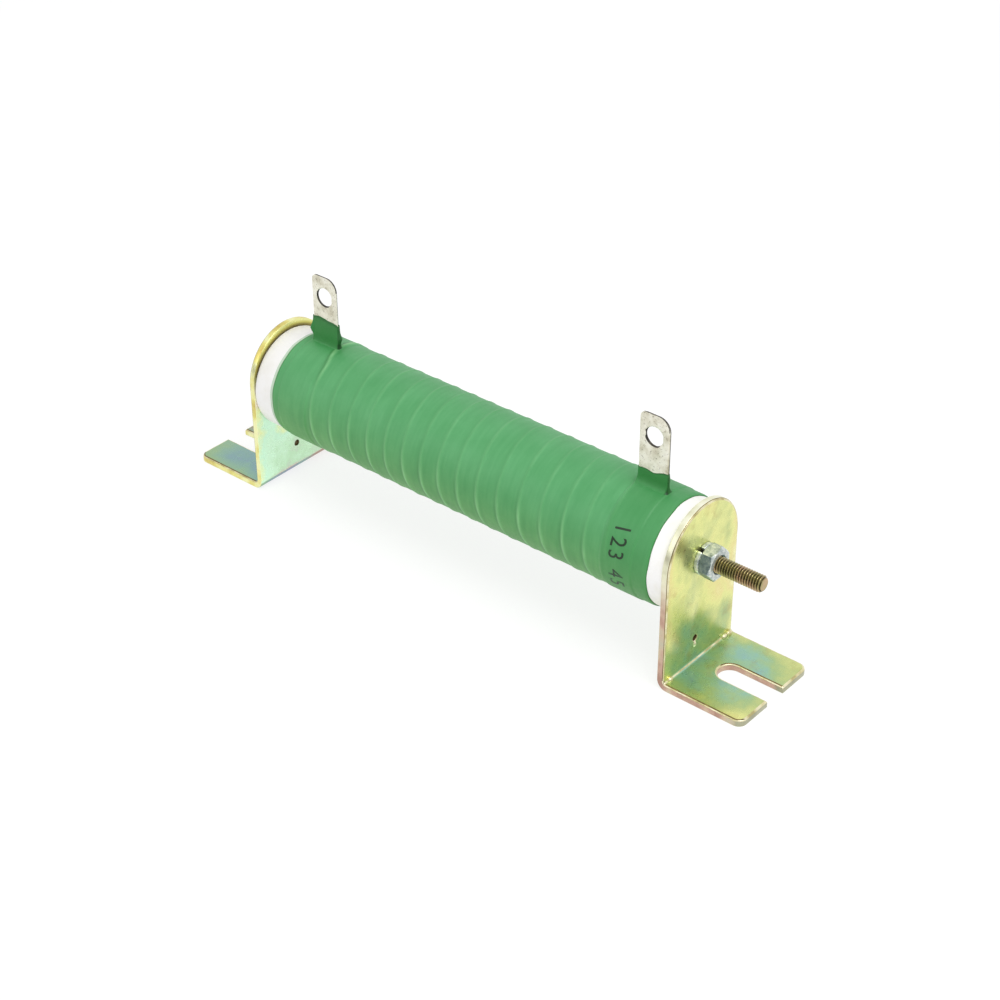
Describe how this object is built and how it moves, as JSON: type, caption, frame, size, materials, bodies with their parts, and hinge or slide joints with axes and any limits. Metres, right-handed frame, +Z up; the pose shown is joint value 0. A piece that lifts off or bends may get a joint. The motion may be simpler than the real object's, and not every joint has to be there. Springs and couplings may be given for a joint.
{
  "type": "tubular wirewound power resistor",
  "caption": "Green-coated tubular wirewound power resistor with standing solder lugs, clamped by a through screw between slotted steel foot brackets.",
  "frame": {"origin": "on the surface that the feet stand on, halfway along the ceramic tube and under its axis", "axes": "+X along the tube towards the nut, +Y away from the pictured side, +Z up"},
  "size_m": [0.127, 0.0204, 0.0446],
  "materials": {
    "ceramic": "fired, unglazed",
    "resistance_alloy": "drawn wire",
    "coat": "dipped coat, satin",
    "tinned_steel": "tinned",
    "yellow_zinc": "zinc plated, yellow passivated",
    "brown_zinc": "zinc plated, yellow passivated",
    "blue_zinc": "zinc plated, clear passivated"
  },
  "bodies": {
    "root": {"ceramic_tube": "ceramic", "resistance_wire": "resistance_alloy", "green_coat": "coat", "terminal_left": "tinned_steel", "terminal_right": "tinned_steel", "bracket_left": "yellow_zinc", "bracket_right": "yellow_zinc", "through_screw": "brown_zinc", "spring_washer": "blue_zinc", "hex_nut": "blue_zinc"}
  },
  "joints": []
}
